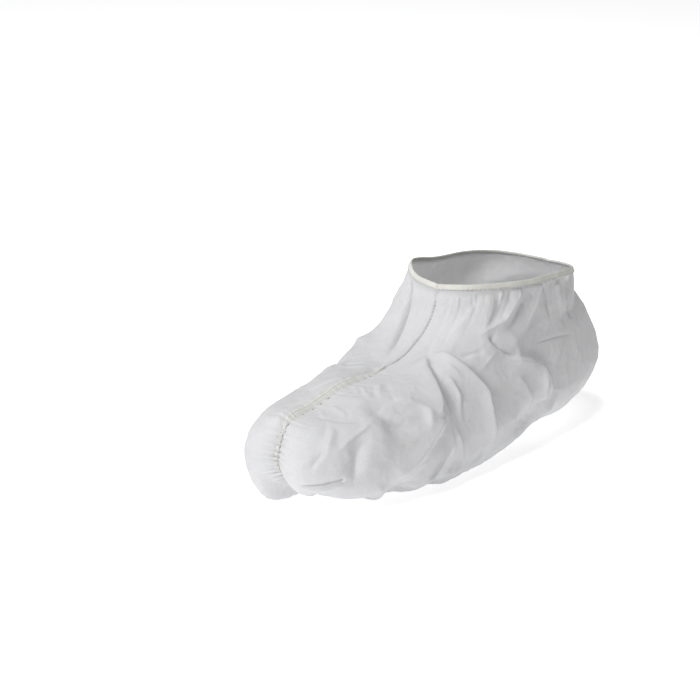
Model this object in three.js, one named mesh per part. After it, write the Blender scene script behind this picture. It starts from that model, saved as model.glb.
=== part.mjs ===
// Reusable shoe cover: two cloth side panels sewn along a front seam, with a flattened
// overlock seam over the toe and a gathered, bound ankle opening.
// Millimetres, +Z up, toe towards -Y, the wearer's left side towards +X.
import * as THREE from 'three';

// ---------- Driving sizes (mm) ----------
const CLOTH = 1.2; // thickness of a panel's wall
const SEAM_GAP = 0.3; // clearance between the two panels along their shared seam
const LAP_GAP = 0.4; // clearance between a panel and the seam band sewn onto it
const BAND = { width: 4.4, thick: 1.1, inset: 0.8, from: 0.05, to: 0.71 };
const BINDING = { thick: 1.0, leg: 4.6, over: 0.8, gap: 0.65 };
const RIM = { smooth: 0.033, rise: 0.07 }; // the binding holds the rim's top edge free of folds
const REST = 2; // how much the soft sole flattens under its own weight
const ORIGIN = { x: 2.28, y: 1.5 }; // middle of the finished cover, moved onto the origin
const GRID = { left: { u: 44, v: 31 }, right: { u: 36, v: 31 } };
const OUTLINE_STEPS = 240; // corners of a half outline before it is divided evenly
const FOLD_STEPS = 28; // spans of a fold's path
const SLOPE_SPAN = 0.012; // share of u and of v over which a normal is taken

// ---------- Tables ----------
const table = (columns, rows) =>
  rows.map((row) => Object.fromEntries(columns.map((name, i) => [name, row[i]])));

// Each section is half a closed outline at one height: from the front seam, round the side, to
// the back seam. v runs 0 at the middle of the sole to 1 at the rim. sideY and sideZ are where
// the outline is widest, and toeSquare and heelSquare are its superellipse powers.
const SECTIONS = table(
  ['v', 'toeY', 'toeZ', 'heelY', 'heelZ', 'wideL', 'wideR', 'sideY', 'sideZ',
    'toeSquareL', 'toeSquareR', 'heelSquare'],
  [
    [0.00, -120, 5, 100, 0, 0, 0, -30, 0, 2.4, 2.4, 1.8],
    [0.06, -140, 9, 116, 3, 41, 41, -30, 0, 2.5, 2.5, 1.7],
    [0.12, -157, 17, 142, 13, 54, 53, -32, 8, 2.6, 2.6, 1.8],
    [0.18, -168, 29, 162, 28, 58, 57, -32, 20, 2.8, 2.8, 2.9],
    [0.23, -171, 42, 169, 44, 60, 59, -30, 32, 2.8, 2.8, 3.2],
    [0.29, -165, 57, 168, 60, 59, 58, -25, 45, 2.7, 2.7, 3.1],
    [0.345, -152, 67, 164, 74, 57, 56, -15, 55, 2.5, 2.5, 2.8],
    [0.44, -125, 71, 158, 86, 54, 54, 5, 64, 2.3, 2.3, 2.7],
    [0.54, -99, 77, 151, 94, 51, 54, 25, 73, 2.2, 2.4, 2.6],
    [0.70, -55, 79, 144, 101, 47, 55, 50, 88, 2.2, 2.5, 2.5],
    [0.81, -25, 86, 142, 107, 44, 57, 65, 101, 2.2, 2.8, 2.6],
    [0.92, -1, 105, 140, 112, 41, 55, 72, 114, 2.2, 3.0, 2.8],
    [1.00, 6, 126, 137, 117, 40, 51, 74, 124, 2.2, 2.8, 3.0],
  ],
);

// How far the rim stands above the sections, round from the front seam at u 0 to the back at 1.
const RISE_FROM = 0.72; // v where that rise starts
const RIM_RISE = table(
  ['u', 'L', 'R'],
  [[0, 2, 2], [0.1, 4, 3], [0.25, 5, 8], [0.35, 4, 5], [0.45, 3, 1], [0.6, 2, -1], [0.8, 1, -1],
    [1, 0, 0]],
);

// How far the seam is drawn in between the two puffed sides, and how wide that hollow is. Under
// the toe it dies out over SEAM_END, before the sole.
const SEAM_END = { from: -108, to: -145 };
const SEAM_TOP = 0.3; // v above which the seam runs over the foot
const SEAM_FRONT = { until: 0.5, fade: 0.2 }; // the part of u that the hollow up there keeps to
const HOLLOW_POWER = 1.5; // how steeply the hollow's sides rise
const SEAM_PULL = table(
  ['v', 'depth', 'reach'],
  [
    [0.00, 4, 10],
    [0.06, 7, 12],
    [0.12, 10, 14],
    [0.23, 11, 15],
    [0.29, 9, 14],
    [0.345, 3, 10],
    [0.44, 1, 8],
    [0.60, 0.6, 6],
    [0.80, 0, 6],
    [1.00, 0, 6],
  ],
);

// Folds run over the panel from one place to another, with u 0 at the front seam and 1 at the back
// seam. bow swings the middle of a fold that runs down to larger u. left and right are how far
// each side of the crest slopes away, height is outward (negative for a hollow), and fadeIn and
// fadeOut are the shares of the fold that rise and die.
const FOLDS = table(
  ['side', 'from', 'to', 'bow', 'left', 'right', 'height', 'fadeIn', 'fadeOut'],
  [
    // from the corner at the instep, down and round the side of the foot
    ['L', [0.09, 0.80], [0.51, 0.13], 0.10, 9, 11, 5.0, 0.25, 0.25],
    ['L', [0.14, 0.79], [0.49, 0.33], 0.04, 11, 9, -3.0, 0.3, 0.4],
    ['L', [0.10, 0.77], [0.42, 0.25], 0.02, 8, 8, -4.0, 0.3, 0.35],
    ['L', [0.07, 0.79], [0.33, 0.34], 0.03, 9, 10, 3.2, 0.2, 0.2],
    ['L', [0.34, 0.37], [0.23, 0.19], 0.03, 9, 10, 3.0, 0.2, 0.3],
    // dents and ridges over the forefoot
    ['L', [0.19, 0.43], [0.25, 0.29], 0, 14, 14, -4.2, 0.6, 0.6],
    ['L', [0.08, 0.51], [0.18, 0.39], 0, 9, 9, -3.0, 0.5, 0.5],
    ['L', [0.03, 0.54], [0.25, 0.25], 0.01, 8, 9, 2.8, 0.3, 0.3],
    ['L', [0.16, 0.35], [0.17, 0.19], 0, 10, 10, -4.0, 0.4, 0.4],
    ['L', [0.06, 0.18], [0.15, 0.22], 0, 7, 7, -2.6, 0.3, 0.4],
    ['L', [0.04, 0.12], [0.12, 0.12], 0, 12, 12, -4.0, 0.3, 0.6],
    // a low ridge where the side turns under
    ['L', [0.38, 0.27], [0.33, 0.14], 0.01, 7, 7, 2.0, 0.5, 0.2],
    // gathers that hang from the ankle binding
    ['L', [0.23, 1.00], [0.24, 0.80], 0.02, 7, 7, 2.4, 0.1, 0.5],
    ['L', [0.28, 1.00], [0.28, 0.83], 0, 7, 7, -2.4, 0.1, 0.4],
    ['L', [0.38, 1.00], [0.34, 0.82], 0.01, 7, 7, 2.8, 0.1, 0.3],
    ['L', [0.35, 0.84], [0.24, 0.81], 0, 7, 7, 2.2, 0.3, 0.4],
    ['L', [0.41, 1.00], [0.40, 0.74], 0, 7, 7, -2.2, 0.1, 0.3],
    ['L', [0.51, 0.98], [0.49, 0.68], 0, 7, 7, 2.2, 0.1, 0.5],
    ['L', [0.52, 0.98], [0.65, 0.70], 0, 7, 7, -2.0, 0.1, 0.5],
    ['L', [0.61, 0.98], [0.72, 0.69], 0, 7, 7, 2.0, 0.1, 0.5],
    ['L', [0.70, 0.98], [0.80, 0.54], 0, 7, 7, -2.0, 0.1, 0.4],
    // folds that hang over the heel
    ['L', [0.30, 0.80], [0.52, 0.57], 0, 7, 7, -2.4, 0.3, 0.3],
    ['L', [0.46, 0.60], [0.67, 0.24], 0.05, 8, 9, 3.6, 0.3, 0.3],
    ['L', [0.55, 0.64], [0.78, 0.43], 0.03, 6, 6, -1.6, 0.4, 0.4],
    // the toe's two lobes: one sags to the floor beside the seam, the other tucks up
    ['R', [0.02, 0.10], [0.18, 0.07], 0, 17, 17, 11.0, 0.1, 0.2],
    ['L', [0.05, 0.09], [0.20, 0.06], 0, 14, 14, -5.0, 0.1, 0.2],
    // the other side: a long groove beside the front seam, creases, and plain gathers
    ['R', [0.15, 1.00], [0.04, 0.78], 0, 6, 6, -2.4, 0.1, 0.4],
    ['R', [0.12, 0.63], [0.05, 0.71], 0, 7, 7, 1.8, 0.3, 0.5],
    ['R', [0.06, 0.47], [0.02, 0.57], 0, 7, 7, 1.4, 0.3, 0.5],
    ['R', [0.04, 0.38], [0.01, 0.45], 0, 7, 7, -2.4, 0.2, 0.5],
    ['R', [0.30, 1.00], [0.28, 0.70], 0.02, 8, 8, -2.4, 0.1, 0.5],
    ['R', [0.42, 1.00], [0.41, 0.66], 0.02, 8, 8, 2.6, 0.1, 0.5],
    ['R', [0.54, 1.00], [0.58, 0.66], 0, 8, 8, -2.4, 0.1, 0.5],
    ['R', [0.66, 1.00], [0.74, 0.62], 0, 8, 8, 2.2, 0.1, 0.5],
    ['R', [0.12, 0.78], [0.45, 0.20], 0.07, 10, 10, 4.0, 0.3, 0.4],
    ['R', [0.12, 0.68], [0.30, 0.28], 0.03, 10, 10, -3.6, 0.3, 0.4],
    ['R', [0.46, 0.52], [0.64, 0.24], 0.02, 9, 9, 3.0, 0.3, 0.3],
  ],
);

// ---------- Small maths ----------
const mix = (a, b, s) => a + (b - a) * s;
const clamp01 = (s) => Math.min(Math.max(s, 0), 1);
const ease = (s) => clamp01(s) ** 2 * (3 - 2 * clamp01(s));

// Value of one column where the key column reads at, as a smooth curve through the rows.
function smoothColumn(rows, column, at, key = 'v') {
  const last = rows.length - 2;
  const i = Math.min(Math.max(rows.findLastIndex((row) => row[key] <= at), 0), last);
  const step = (k) => rows[k + 1][key] - rows[k][key];
  const slope = (k) => (rows[k + 1][column] - rows[k][column]) / step(k);
  const tangent = (k) => {
    if (k === 0) return slope(0);
    if (k === rows.length - 1) return slope(k - 1);
    return (slope(k - 1) * step(k) + slope(k) * step(k - 1)) / (step(k - 1) + step(k));
  };
  const h = step(i);
  const s = (at - rows[i][key]) / h;
  const value = (2 * s ** 3 - 3 * s ** 2 + 1) * rows[i][column]
    + (3 * s ** 2 - 2 * s ** 3) * rows[i + 1][column];
  return value + h * ((s ** 3 - 2 * s ** 2 + s) * tangent(i) + (s ** 3 - s ** 2) * tangent(i + 1));
}

// ---------- One side panel as a surface over u and v ----------
class Panel {
  constructor(side) {
    this.side = side; // 'L' or 'R'
    this.sign = side === 'L' ? 1 : -1;
    this.outlines = new Map();
    this.folds = FOLDS.filter((fold) => fold.side === side).map((fold) => this.laidOut(fold));
  }

  // The half outline at v as points with their running length from the front seam.
  outline(v) {
    if (this.outlines.has(v)) return this.outlines.get(v);
    const at = (column) => smoothColumn(SECTIONS, column, v);
    const wide = at(`wide${this.side}`);
    const points = [];
    for (let k = 0; k <= OUTLINE_STEPS; k += 1) {
      const angle = (Math.PI * k) / OUTLINE_STEPS;
      const front = k <= OUTLINE_STEPS / 2;
      const power = 2 / (front ? at(`toeSquare${this.side}`) : at('heelSquare'));
      const along = Math.abs(Math.cos(angle)) ** power;
      points.push(new THREE.Vector3(
        this.sign * wide * Math.abs(Math.sin(angle)) ** power,
        mix(at('sideY'), at(front ? 'toeY' : 'heelY'), along),
        mix(at('sideZ'), at(front ? 'toeZ' : 'heelZ'), along ** 2),
      ));
    }
    const run = [0];
    for (let k = 1; k <= OUTLINE_STEPS; k += 1) {
      run.push(run[k - 1] + points[k].distanceTo(points[k - 1]));
    }
    const outline = { points, run };
    this.outlines.set(v, outline);
    return outline;
  }

  base(u, v) {
    const { points, run } = this.outline(v);
    const length = u * run.at(-1);
    const k = Math.min(Math.max(run.findIndex((r) => r >= length), 1), run.length - 1);
    const s = (length - run[k - 1]) / Math.max(run[k] - run[k - 1], 1e-9);
    const point = points[k - 1].clone().lerp(points[k], s);
    const rise = smoothColumn(RIM_RISE, this.side, u, 'u');
    point.z += rise * ease((v - RISE_FROM) / (1 - RISE_FROM));
    return point;
  }

  // Outward normal of any surface function of u and v. On the seams it stays in the middle plane.
  normal(surface, u, v) {
    const [u0, u1] = [Math.max(u - SLOPE_SPAN, 0), Math.min(u + SLOPE_SPAN, 1)];
    const [v0, v1] = [Math.max(v - SLOPE_SPAN, 0), Math.min(v + SLOPE_SPAN, 1)];
    const alongU = surface(u1, v).sub(surface(u0, v));
    const alongV = surface(u, v1).sub(surface(u, v0));
    const normal = alongU.cross(alongV).multiplyScalar(this.sign);
    if (u === 0 || u === 1 || v === 0) normal.x = 0;
    return normal.normalize();
  }

  // A fold's path as points on the unfolded surface with the direction across it.
  laidOut(fold) {
    const [from, to] = [new THREE.Vector2(...fold.from), new THREE.Vector2(...fold.to)];
    const way = to.clone().sub(from);
    const aside = new THREE.Vector2(-way.y, way.x).normalize();
    const spots = Array.from({ length: FOLD_STEPS + 1 }, (_, k) => {
      const s = k / FOLD_STEPS;
      return from.clone().addScaledVector(way, s).addScaledVector(aside, fold.bow * 4 * s * (1 - s));
    });
    const points = spots.map(({ x, y }) => this.base(clamp01(x), clamp01(y)));
    const across = spots.map(({ x, y }, k) => {
      const after = points[Math.min(k + 1, FOLD_STEPS)];
      const along = after.clone().sub(points[Math.max(k - 1, 0)]);
      const out = this.normal((a, b) => this.base(a, b), clamp01(x), clamp01(y));
      return along.cross(out).normalize();
    });
    const middle = points[FOLD_STEPS / 2];
    const radius = Math.max(...points.map((point) => point.distanceTo(middle)));
    return { ...fold, points, across, middle, reach: radius + 3 * Math.max(fold.left, fold.right) };
  }

  foldHeight(fold, point) {
    if (point.distanceTo(fold.middle) > fold.reach) return 0;
    let nearest = 0;
    let best = Infinity;
    fold.points.forEach((spot, k) => {
      const d = spot.distanceToSquared(point);
      if (d < best) [best, nearest] = [d, k];
    });
    const off = point.clone().sub(fold.points[nearest]);
    const across = off.dot(fold.across[nearest]);
    const beyond = Math.sqrt(Math.max(best - across ** 2, 0));
    const width = across > 0 ? fold.right : fold.left;
    const s = nearest / (fold.points.length - 1);
    const fade = ease(s / fold.fadeIn) * ease((1 - s) / fold.fadeOut);
    return fold.height * fade * Math.exp(-((across / width) ** 2) - (beyond / width) ** 2);
  }

  // The finished outer face: folds and seam hollow pushed along the normal, flat on the floor.
  outer(u, v) {
    const point = this.base(u, v);
    const depth = smoothColumn(SEAM_PULL, 'depth', v);
    const reach = smoothColumn(SEAM_PULL, 'reach', v);
    const end = (SEAM_END.from - point.y) / (SEAM_END.from - SEAM_END.to);
    const front = (SEAM_FRONT.until - u) / SEAM_FRONT.fade;
    const dying = ease(v < SEAM_TOP ? end : front);
    const seam = depth * dying * Math.exp(-((Math.abs(point.x) / reach) ** HOLLOW_POWER));
    const calm = ease((1 - v - RIM.smooth) / RIM.rise);
    const folds = this.folds.reduce((sum, fold) => sum + this.foldHeight(fold, point), 0);
    const lift = folds * calm - seam;
    point.addScaledVector(this.normal((a, b) => this.base(a, b), u, v), lift);
    point.z = Math.max(point.z - REST, 0);
    point.x = this.sign * Math.max(this.sign * point.x, SEAM_GAP / 2);
    return point;
  }

  // Grid of outer points and the matching inner points one wall thickness in.
  grids(cells) {
    const surface = (u, v) => this.outer(u, v);
    const [outer, inner, normals] = [[], [], []];
    for (let j = 0; j <= cells.v; j += 1) {
      const [outRow, inRow, normalRow] = [[], [], []];
      for (let i = 0; i <= cells.u; i += 1) {
        const [u, v] = [i / cells.u, j / cells.v];
        const point = surface(u, v);
        const normal = this.normal(surface, u, v);
        const inside = point.clone().addScaledVector(normal, -CLOTH);
        inside.x = this.sign * Math.max(this.sign * inside.x, SEAM_GAP / 2);
        outRow.push(point);
        inRow.push(inside);
        normalRow.push(normal);
      }
      outer.push(outRow);
      inner.push(inRow);
      normals.push(normalRow);
    }
    return { outer, inner, normals };
  }
}

// ---------- Closed meshes ----------
// Joins triangles given by corner points into an indexed geometry.
function geometryFrom(points, triangles) {
  const geometry = new THREE.BufferGeometry();
  geometry.setAttribute('position', new THREE.Float32BufferAttribute(
    points.flatMap((p) => [p.x, p.y, p.z]), 3));
  geometry.setIndex(triangles.flat());
  geometry.computeVertexNormals();
  return geometry;
}

const quad = (a, b, c, d, flip) => (flip ? [[a, c, b], [a, d, c]] : [[a, b, c], [a, c, d]]);

// A wall between two matching grids, closed round its four edges. Each cell is split along the
// diagonal that bends less, so that folds stay clean whichever way they cross the grid.
function wallGeometry({ outer, inner, normals }, flip) {
  const rows = outer.length;
  const columns = outer[0].length;
  const points = [...outer.flat(), ...inner.flat()];
  const out = (j, i) => j * columns + i;
  const into = (j, i) => rows * columns + j * columns + i;
  const triangles = [];
  for (let j = 0; j < rows - 1; j += 1) {
    for (let i = 0; i < columns - 1; i += 1) {
      const bendUp = normals[j][i].dot(normals[j + 1][i + 1]);
      const bendDown = normals[j][i + 1].dot(normals[j + 1][i]);
      const cell = [[j, i], [j, i + 1], [j + 1, i + 1], [j + 1, i]];
      const sewn = i === 0 || j === rows - 2; // what is sewn on here follows the same diagonal
      if (!sewn && bendDown > bendUp) cell.push(cell.shift());
      triangles.push(...quad(...cell.map(([r, c]) => out(r, c)), flip));
      triangles.push(...quad(...cell.map(([r, c]) => into(r, c)), !flip));
    }
  }
  for (let i = 0; i < columns - 1; i += 1) {
    const top = rows - 1;
    triangles.push(...quad(into(0, i), into(0, i + 1), out(0, i + 1), out(0, i), flip));
    triangles.push(...quad(out(top, i), out(top, i + 1), into(top, i + 1), into(top, i), flip));
  }
  for (let j = 0; j < rows - 1; j += 1) {
    const end = columns - 1;
    triangles.push(...quad(into(j, 0), out(j, 0), out(j + 1, 0), into(j + 1, 0), flip));
    triangles.push(...quad(out(j, end), into(j, end), into(j + 1, end), out(j + 1, end), flip));
  }
  return geometryFrom(points, triangles);
}

// Sweeps rings of equal corner count along a path; open runs get end caps.
function sweptGeometry(rings, closed, flip) {
  const corners = rings[0].length;
  const points = rings.flat();
  const triangles = [];
  const spans = closed ? rings.length : rings.length - 1;
  for (let j = 0; j < spans; j += 1) {
    const next = (j + 1) % rings.length;
    for (let k = 0; k < corners; k += 1) {
      const m = (k + 1) % corners;
      const [a, b] = [j * corners + k, j * corners + m];
      const [c, d] = [next * corners + m, next * corners + k];
      triangles.push(...quad(a, b, c, d, flip));
    }
  }
  if (!closed) {
    const last = (rings.length - 1) * corners;
    triangles.push(...quad(0, 3, 2, 1, flip), ...quad(last, last + 1, last + 2, last + 3, flip));
  }
  return geometryFrom(points, triangles);
}

// ---------- The pieces ----------
// The flattened overlock seam lies on the right panel beside the front seam.
function seamBandRings(grid) {
  const rows = grid.outer.length - 1;
  const rings = [];
  for (let j = Math.ceil(BAND.from * rows); j <= BAND.to * rows; j += 1) {
    const start = grid.outer[j][0];
    const next = grid.outer[j][1];
    const across = next.clone().sub(start).normalize();
    const above = grid.outer[Math.min(j + 1, rows)][0].clone().sub(grid.outer[j - 1][0]);
    const out = above.cross(across).normalize();
    const at = (side, up) => start.clone().addScaledVector(across, side).addScaledVector(out, up);
    const [near, far] = [BAND.inset, BAND.inset + BAND.width];
    const [low, high] = [LAP_GAP, LAP_GAP + BAND.thick];
    rings.push([at(near, low), at(far, low), at(far, high), at(near, high)]);
  }
  return rings;
}

// The binding is a folded tape that straddles the rim of both panels, all the way round.
function bindingRings(left, right) {
  const rim = (grid) => grid.outer.at(-1).map((top, i) => ({
    top,
    down: grid.outer.at(-2)[i].clone().sub(top).normalize(),
  }));
  const leftRim = rim(left);
  const rightRim = rim(right).slice(1, -1).reverse();
  const stations = [...leftRim, ...rightRim];
  stations[0].top = stations[0].top.clone().setX(0);
  stations[leftRim.length - 1].top = stations[leftRim.length - 1].top.clone().setX(0);
  const count = stations.length;
  return stations.map(({ top, down }, k) => {
    const before = stations[(k + count - 1) % count].top;
    const after = stations[(k + 1) % count].top;
    const along = after.clone().sub(before).normalize();
    const out = down.clone().cross(along).normalize();
    const at = (n, up) => top.clone().addScaledVector(out, n).addScaledVector(down, -up);
    const face = BINDING.gap;
    const back = -CLOTH - BINDING.gap;
    const t = BINDING.thick;
    const lid = BINDING.over;
    return [
      at(face + t, -BINDING.leg), at(face + t, lid + t), at(back - t, lid + t),
      at(back - t, -BINDING.leg), at(back, -BINDING.leg), at(back, lid),
      at(face, lid), at(face, -BINDING.leg),
    ];
  });
}

function piece(name, geometry, color, roughness) {
  const material = new THREE.MeshStandardMaterial({ color, roughness, metalness: 0 });
  const mesh = new THREE.Mesh(geometry, material);
  mesh.name = name;
  return mesh;
}

const leftGrid = new Panel('L').grids(GRID.left);
const rightGrid = new Panel('R').grids(GRID.right);

const cover = new THREE.Group();
cover.add(
  piece('left_panel', wallGeometry(leftGrid, false), 0xe4e4e6, 0.9),
  piece('right_panel', wallGeometry(rightGrid, true), 0xe4e4e6, 0.9),
  piece('seam_band', sweptGeometry(seamBandRings(rightGrid), false, false), 0xe6e5d8, 0.85),
  piece('ankle_binding', sweptGeometry(bindingRings(leftGrid, rightGrid), true, true), 0xe2e0d6, 0.85),
);
cover.position.set(-ORIGIN.x, -ORIGIN.y, 0);

export default cover;
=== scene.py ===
# %% [markdown]
# # A reusable shoe cover
# The real cover is two thin sides of white nonwoven cloth. One seam joins them down the instep,
# round the toe, under the sole and up the heel. A gathered tape binds the ankle, and over the toe
# the seam is overlocked and folded flat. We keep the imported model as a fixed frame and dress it:
# every piece below is laid on the same smooth shape that the solids were worked out from.

# %% The fixed frame
import math

import bpy
import numpy as np
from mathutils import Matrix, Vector


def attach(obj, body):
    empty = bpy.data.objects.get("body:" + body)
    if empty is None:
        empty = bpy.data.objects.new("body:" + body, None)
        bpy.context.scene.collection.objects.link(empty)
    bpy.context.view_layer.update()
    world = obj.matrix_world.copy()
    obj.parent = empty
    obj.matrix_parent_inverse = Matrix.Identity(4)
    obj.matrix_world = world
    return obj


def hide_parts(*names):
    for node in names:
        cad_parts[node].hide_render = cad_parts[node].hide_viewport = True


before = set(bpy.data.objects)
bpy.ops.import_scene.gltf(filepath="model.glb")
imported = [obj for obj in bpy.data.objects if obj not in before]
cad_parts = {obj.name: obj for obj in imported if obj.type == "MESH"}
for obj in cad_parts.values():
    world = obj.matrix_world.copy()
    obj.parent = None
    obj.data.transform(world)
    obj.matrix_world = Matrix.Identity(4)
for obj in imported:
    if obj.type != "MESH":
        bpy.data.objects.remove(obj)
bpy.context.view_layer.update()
print("solids:", sorted(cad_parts))

# %% [markdown]
# ## The shape under the folds
# A sewn shell could be sculpted or simulated from flat cuts. Here a short table of sections gives
# it, because then a fold, a stitch or a tape can be placed by two numbers: u runs along a section
# from the front seam to the back seam, and v runs from the middle of the sole up to the rim.

# %% Sections, in millimetres
SECTIONS = np.array([
    # v, toe y, toe z, heel y, heel z, left, right, side y, side z, square toe L, R, heel
    [0.00, -120, 5, 100, 0, 0, 0, -30, 0, 2.4, 2.4, 1.8],
    [0.06, -140, 9, 116, 3, 41, 41, -30, 0, 2.5, 2.5, 1.7],
    [0.12, -157, 17, 142, 13, 54, 53, -32, 8, 2.6, 2.6, 1.8],
    [0.18, -168, 29, 162, 28, 58, 57, -32, 20, 2.8, 2.8, 2.9],
    [0.23, -171, 42, 169, 44, 60, 59, -30, 32, 2.8, 2.8, 3.2],
    [0.29, -165, 57, 168, 60, 59, 58, -25, 45, 2.7, 2.7, 3.1],
    [0.345, -152, 67, 164, 74, 57, 56, -15, 55, 2.5, 2.5, 2.8],
    [0.44, -125, 71, 158, 86, 54, 54, 5, 64, 2.3, 2.3, 2.7],
    [0.54, -99, 77, 151, 94, 51, 54, 25, 73, 2.2, 2.4, 2.6],
    [0.70, -55, 79, 144, 101, 47, 55, 50, 88, 2.2, 2.5, 2.5],
    [0.81, -25, 86, 142, 107, 44, 57, 65, 101, 2.2, 2.8, 2.6],
    [0.92, -1, 105, 140, 112, 41, 55, 72, 114, 2.2, 3.0, 2.8],
    [1.00, 6, 126, 137, 117, 40, 51, 74, 124, 2.2, 2.8, 3.0],
])
SEAM_PULL = np.array([
    # v, how deep the seam is drawn in, how far the hollow reaches
    [0.00, 4, 10], [0.06, 7, 12], [0.12, 10, 14], [0.23, 11, 15], [0.29, 9, 14],
    [0.345, 3, 10], [0.44, 1, 8], [0.60, 0.6, 6], [0.80, 0, 6], [1.00, 0, 6],
])
RIM_RISE = np.array([
    # u, how far the left and the right side of the rim stand above the sections
    [0.0, 2, 2], [0.1, 4, 3], [0.25, 5, 8], [0.35, 4, 5], [0.45, 3, 1], [0.6, 2, -1],
    [0.8, 1, -1], [1.0, 0, 0],
])
RISE_FROM = 0.72  # v where the rim's rise starts
ORIGIN = np.array([2.28, 1.5, 2.0])  # the solids' origin and how much the soft sole flattens
MM = 0.001
print("widest section:", SECTIONS[:, 5].max() + SECTIONS[:, 6].max(), "mm")

# %% From sections to a smooth side
OUTLINE_STEPS = 500  # points along one half of a section


def ease(s):
    s = np.clip(s, 0, 1)
    return s * s * (3 - 2 * s)


def unit(arrows):
    return arrows / np.maximum(np.linalg.norm(arrows, axis=-1, keepdims=True), 1e-9)


def running(line):
    """The length along a line up to each of its points."""
    return np.concatenate([[0], np.cumsum(np.linalg.norm(np.diff(line, axis=0), axis=1))])


def through(table, v):
    """The table's other columns at v, as smooth curves through its rows."""
    knots, values = table[:, 0], table[:, 1:]
    step = np.diff(knots)[:, None]
    slope = np.diff(values, axis=0) / step
    tangent = np.empty_like(values)
    tangent[0], tangent[-1] = slope[0], slope[-1]
    tangent[1:-1] = (slope[:-1] * step[1:] + slope[1:] * step[:-1]) / (step[1:] + step[:-1])
    i = np.clip(np.searchsorted(knots, v, side="right") - 1, 0, len(knots) - 2)
    h = step[i]
    s = (v - knots[i])[:, None] / h
    rise = 3 * s**2 - 2 * s**3
    bend = (s**3 - 2 * s**2 + s) * tangent[i] + (s**3 - s**2) * tangent[i + 1]
    return values[i] * (1 - rise) + values[i + 1] * rise + h * bend


def half_outline(row, sign):
    """One section as a line of points."""
    toe_y, toe_z, heel_y, heel_z, left, right, side_y, side_z, toe_l, toe_r, heel = row
    angle = np.linspace(0, math.pi, OUTLINE_STEPS)
    front = angle <= math.pi / 2
    power = 2 / np.where(front, toe_l if sign > 0 else toe_r, heel)
    along = np.abs(np.cos(angle)) ** power
    x = sign * (left if sign > 0 else right) * np.abs(np.sin(angle)) ** power
    y = side_y + (np.where(front, toe_y, heel_y) - side_y) * along
    z = side_z + (np.where(front, toe_z, heel_z) - side_z) * along**2
    return np.stack([x, y, z], 1)


def bare_side(sign, us, vs):
    """The smooth side over a grid of u and v, and each section's length."""
    points, lengths = [], []
    for row in through(SECTIONS, vs):
        line = half_outline(row, sign)
        run = running(line)
        points.append(np.stack([np.interp(us * run[-1], run, line[:, k]) for k in range(3)], 1))
        lengths.append(run[-1])
    points = np.array(points)
    rise = through(RIM_RISE, us)[:, 0 if sign > 0 else 1]
    points[..., 2] += rise * ease((vs - RISE_FROM) / (1 - RISE_FROM))[:, None]
    return points, np.array(lengths)


def facing(points, sign):
    """Outward unit normals of a grid."""
    return unit(np.cross(np.gradient(points, axis=1), np.gradient(points, axis=0)) * sign)


print("half of the rim:", round(bare_side(1, np.array([0.0, 1.0]), np.ones(1))[1][0]), "mm")

# %% [markdown]
# ## Folds
# Cloth that is held by a seam folds away from it in ridges with a crisp crest and a soft flank.
# A cloth simulation would give folds, but not these ones. So each fold is a row: where it starts
# and ends on the side, how far it bows, how far its flanks reach, its height and how it fades.

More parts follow.
